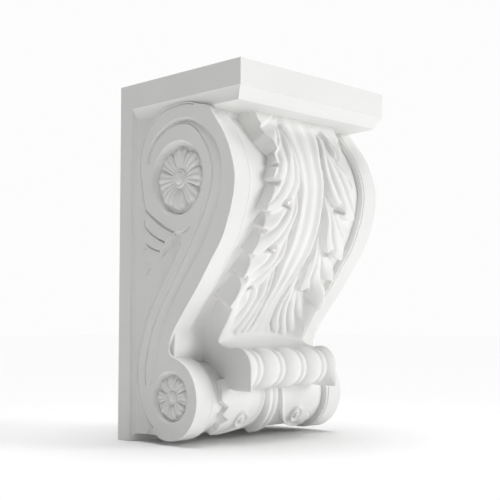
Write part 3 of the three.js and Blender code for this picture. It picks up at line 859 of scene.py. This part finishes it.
def tip_ring(x):
    scoop = float(ease((abs(x) - TIP_EVEN) / (ROLL_WIDE / 2 - TIP_EVEN)))
    lips = [spot(a) + (spot(b) - spot(a)) * scoop for a, b in TIP_LIP]
    top = roll_eye + np.array([0, ROLL_R - GADROON_DEEP * TIP_IN_ROLL])
    sheet = smooth_line(np.vstack([spots([TIP_ROOT]), lips, spots([TIP_BEND]), top[None]]), 10)
    under = arc(roll_eye, ROLL_R - GADROON_DEEP, math.pi * 0.5, math.pi * 1.5, 30)[1:]
    return ring_at(x, np.vstack([sheet, under, spots(TIP_BELOW)]))


carved_shells.append(loft([tip_ring(x) for x in np.linspace(-ROLL_WIDE / 2, ROLL_WIDE / 2, 61)]))

# Roll with gadroons
GADROON_BLUNT = 0.55
BEAD_SHARE = 0.13
BEAD_RISE = 0.5
BEAD_BLUNT = 0.7
FLARE_START = 45


def gadroon(x):
    """Roll radius at x: plump gadroons with a narrow bead between them."""
    u = (x / GADROON_WIDE + 0.5) % 1
    from_bead = min(u, 1 - u)
    if from_bead < BEAD_SHARE:
        swell = BEAD_RISE * math.cos(math.pi / 2 * from_bead / BEAD_SHARE) ** BEAD_BLUNT
    else:
        share = (from_bead - BEAD_SHARE) / (0.5 - BEAD_SHARE)
        swell = math.sin(math.pi / 2 * share) ** GADROON_BLUNT
    return ROLL_R - GADROON_DEEP * (1 - swell)


def roll_ring(x):
    """Section of the roll, squared off low at the front towards its ends."""
    a = np.linspace(0, 2 * math.pi, 97)[:-1]
    r = gadroon(x)
    y = roll_eye[0] + r * np.cos(a)
    z = roll_eye[1] + r * np.sin(a)
    flare = float(ease((abs(x) - FLARE_START) / (ROLL_WIDE / 2 - FLARE_START)))
    low_front = (np.cos(a) < 0) & (np.sin(a) < 0)
    y = np.where(low_front, y + (roll_eye[0] - r - y) * flare, y)
    return ring_at(x, np.column_stack([y, z]))


carved_shells.append(loft([roll_ring(x) for x in np.linspace(-ROLL_WIDE / 2, ROLL_WIDE / 2, 233)]))

# Carving on the front of the lower scroll, as heights over x and the turn round its eye
SCROLL_PLAN_WIDE = 66
SCROLL_PLAN_TURN = (150, 268)
SCROLL_SUNK = -1.5
SCROLL_BACK = -3.0

# Leaf: turn in degrees, then inner and outer edge in per cent of the half width
SCROLL_LEAF = [
    (165, 12, 70), (182, 12, 67), (192, 13, 58), (203, 15, 64), (212, 18, 54), (222, 23, 62),
    (232, 30, 60), (242, 42, 62), (248, 52, 60),
]
SCROLL_LEAF_RISE = 5.0
SCROLL_LEAF_WALL = 2.4
SCROLL_DIP = 1.6
SCROLL_DIP_WIDE = 5
SCROLL_LIFT = 1.0
SCROLL_LIFT_FROM = 12
SCROLL_LIFT_WIDE = 14

# Curl: place in per cent of the half width and in degrees, a ring and a dot in it
CURL = (38, 213)
CURL_R = 7.0
CURL_RISE = 5.6
CURL_RING = 1.0
CURL_WALL = 3
DOT_R = 3
DOT_RISE = 7.2
DOT_FALL = 0.5
DOT_FALL_AT = 2.2

# Double rib in the middle
RIB_WIDE = 9
RIB_TAPER = 0.22
RIB_TOP = 160
RIB_LONG = 100
RIB_RISE = 3.2
RIB_ROUND = 1.9
RIB_BLUNT = 1.2
RIB_TILT = 0.5
RIB_WALL = 2.4
RIB_END = 258

lower_floor_r = SCROLL_R - CHANNEL_DEEP
degree = lower_floor_r * math.pi / 180
wx, wt = np.meshgrid(
    np.arange(-SCROLL_PLAN_WIDE, SCROLL_PLAN_WIDE + 0.01, GRID),
    np.arange(*SCROLL_PLAN_TURN, GRID / degree),
)
ax = np.abs(wx)

table = np.array(SCROLL_LEAF, float)
inner = half * np.interp(wt, table[:, 0], table[:, 1]) / 100
outer = half * np.interp(wt, table[:, 0], table[:, 2]) / 100
inside = np.minimum(ax - inner, outer - ax)
inside = np.minimum(inside, (table[-1, 0] - wt) * degree)
carved = np.where(
    inside > 0,
    SCROLL_LEAF_RISE - SCROLL_DIP * ease((ax - inner) / SCROLL_DIP_WIDE)
    + SCROLL_LIFT * ease((ax - inner - SCROLL_LIFT_FROM) / SCROLL_LIFT_WIDE),
    SCROLL_LEAF_RISE + SCROLL_LEAF_WALL * inside,
)

curl_x, curl_t = half * CURL[0] / 100, CURL[1]
away = np.hypot(ax - curl_x, (wt - curl_t) * degree)
curl = np.where(
    away < CURL_R,
    CURL_RISE + CURL_RING * np.cos(away / CURL_R * math.pi * 2),
    CURL_RISE + CURL_RING - CURL_WALL * (away - CURL_R),
)
carved = np.maximum(carved, curl)
dot = DOT_RISE - DOT_FALL * (away / DOT_FALL_AT) ** 2
carved = np.where(away < DOT_R, np.maximum(carved, dot), carved)

rib_wide = RIB_WIDE * (1 - RIB_TAPER * np.clip((wt - RIB_TOP) / RIB_LONG, 0, 1))
q = ax / rib_wide
rib = np.where(
    q < 1,
    RIB_RISE + RIB_ROUND * np.sin(math.pi * np.clip(q, 0, 1)) ** RIB_BLUNT - RIB_TILT * q,
    RIB_RISE - RIB_TILT - RIB_WALL * (ax - rib_wide),
)
rib -= RIB_WALL * np.maximum(0, (wt - RIB_END) * degree)
carved = np.maximum(np.maximum(carved, rib), SCROLL_SUNK)


def wrapped(x, turn, rise):
    """Points at a height above the floor of the lower scroll."""
    a = np.radians(turn)
    r = lower_floor_r + rise
    return np.stack([x, scroll_eye[0] + r * np.cos(a), scroll_eye[1] + r * np.sin(a)], -1)


carved_shells.append(slab(
    wrapped(wx, wt, carved),
    wrapped(wx, wt, np.full(wx.shape, SCROLL_BACK)),
))

# One skin over the front carving, softly rounded, then thinned where it is flat
VOXEL = 0.7
CARVING_TRIANGLES = 140000
SHARP_ANGLE = 32


def gathered(group):
    """Points and faces of a group of shells in one list each."""
    points, faces, base_at = [], [], 0
    for p, f in group:
        points.append(p)
        faces += [tuple(v + base_at for v in face) for face in f]
        base_at += len(p)
    return np.vstack(points), faces


def skinned(group, triangles):
    """One closed skin over overlapping shells."""
    rough = as_object("rough", gathered(group))
    remesh = rough.modifiers.new("skin", "REMESH")
    remesh.mode = "VOXEL"
    remesh.voxel_size = VOXEL
    soften = rough.modifiers.new("soften", "SMOOTH")
    soften.factor = 0.5
    soften.iterations = 1
    skin = baked(rough)
    fine = as_object("fine", skin)
    fine.modifiers.new("split", "TRIANGULATE")
    thin = fine.modifiers.new("thin", "DECIMATE")
    thin.ratio = min(1.0, triangles / (2 * len(skin[1])))
    return baked(fine)


carving = skinned(carved_shells, CARVING_TRIANGLES)
points, faces = fused(base, [carving] + flower_shells)
points = np.clip(points, [-half, -DEPTH, -half_high], [half, 0, half_high]) / 1000
corbel = as_object("casting", (points, faces))
for face in corbel.data.polygons:
    face.use_smooth = True
corbel.data.set_sharp_from_angle(angle=math.radians(SHARP_ANGLE))

# Matt white paint
paint = bpy.data.materials.new("white_paint")
paint.use_nodes = True
nodes, links = paint.node_tree.nodes, paint.node_tree.links
shader = nodes["Principled BSDF"]
shader.inputs["Base Color"].default_value = (0.86, 0.858, 0.845, 1)
shader.inputs["Roughness"].default_value = 0.62
shader.inputs["Specular IOR Level"].default_value = 0.3
place = nodes.new("ShaderNodeTexCoord")
grain = nodes.new("ShaderNodeTexNoise")
grain.inputs["Scale"].default_value = 900
grain.inputs["Detail"].default_value = 4
links.new(place.outputs["Object"], grain.inputs["Vector"])
bump = nodes.new("ShaderNodeBump")
bump.inputs["Strength"].default_value = 0.05
bump.inputs["Distance"].default_value = 0.0003
links.new(grain.outputs["Fac"], bump.inputs["Height"])
links.new(bump.outputs["Normal"], shader.inputs["Normal"])
cloud = nodes.new("ShaderNodeTexNoise")
cloud.inputs["Scale"].default_value = 14
cloud.inputs["Detail"].default_value = 5
links.new(place.outputs["Object"], cloud.inputs["Vector"])
tone = nodes.new("ShaderNodeValToRGB")
tone.color_ramp.elements[0].position = 0.3
tone.color_ramp.elements[0].color = (0.84, 0.838, 0.825, 1)
tone.color_ramp.elements[1].position = 0.7
tone.color_ramp.elements[1].color = (0.88, 0.878, 0.867, 1)
links.new(cloud.outputs["Fac"], tone.inputs["Fac"])
links.new(tone.outputs["Color"], shader.inputs["Base Color"])
sheen = nodes.new("ShaderNodeMapRange")
sheen.inputs["To Min"].default_value = 0.56
sheen.inputs["To Max"].default_value = 0.7
links.new(cloud.outputs["Fac"], sheen.inputs["Value"])
links.new(sheen.outputs["Result"], shader.inputs["Roughness"])
corbel.data.materials.append(paint)

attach(corbel, "root")
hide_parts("corbel")

# Floor, in metres
FLOOR_HALF = 6
floor_corners = [(-1, -1), (1, -1), (1, 1), (-1, 1)]
floor = as_object("floor", (
    np.array([[x * FLOOR_HALF, y * FLOOR_HALF, -half_high / 1000] for x, y in floor_corners]),
    [(0, 1, 2, 3)],
))
ground = bpy.data.materials.new("pale_floor")
ground.use_nodes = True
ground.node_tree.nodes["Principled BSDF"].inputs["Base Color"].default_value = (0.97, 0.97, 0.97, 1)
ground.node_tree.nodes["Principled BSDF"].inputs["Roughness"].default_value = 0.9
floor.data.materials.append(ground)

# Light: an even pale room, a soft ceiling and a soft lamp from the front right
world = bpy.data.worlds.new("studio")
bpy.context.scene.world = world
world.use_nodes = True
room = world.node_tree
seen = room.nodes["Background"]
seen.inputs["Color"].default_value = (1, 1, 1, 1)
seen.inputs["Strength"].default_value = 0.98
around = room.nodes.new("ShaderNodeBackground")
around.inputs["Color"].default_value = (1, 1, 1, 1)
around.inputs["Strength"].default_value = 0.05
ray = room.nodes.new("ShaderNodeLightPath")
choose = room.nodes.new("ShaderNodeMixShader")
room.links.new(ray.outputs["Is Camera Ray"], choose.inputs["Fac"])
room.links.new(around.outputs["Background"], choose.inputs[1])
room.links.new(seen.outputs["Background"], choose.inputs[2])
room.links.new(choose.outputs["Shader"], room.nodes["World Output"].inputs["Surface"])
bpy.context.scene.view_settings.view_transform = "Standard"


def sun(name, direction, wide, strength):
    light = bpy.data.lights.new(name, "SUN")
    light.angle = math.radians(wide)
    light.energy = strength
    obj = bpy.data.objects.new(name, light)
    obj.rotation_euler = Vector(direction).to_track_quat("-Z", "Y").to_euler()
    bpy.context.scene.collection.objects.link(obj)


sun("ceiling", (0, 0, -1), 50, 2.75)
sun("key", (-0.8, 1, -0.3), 30, 1.68)

# Camera of the photograph: place in metres, angles in degrees, focal length in its pixels
CAMERA_PLACE = (-0.67917, -0.7395, -0.05665)
CAMERA_UP = 4.142
CAMERA_TURN = -45.629
FOCAL_PIXELS = 997.2
PHOTO_PIXELS = 500
SENSOR = 36
camera = bpy.data.objects.new("camera", bpy.data.cameras.new("camera"))
camera.location = CAMERA_PLACE
camera.rotation_euler = (math.radians(90 + CAMERA_UP), 0, math.radians(CAMERA_TURN))
camera.data.sensor_width = SENSOR
camera.data.lens = FOCAL_PIXELS / PHOTO_PIXELS * SENSOR
bpy.context.scene.collection.objects.link(camera)
bpy.context.scene.camera = camera
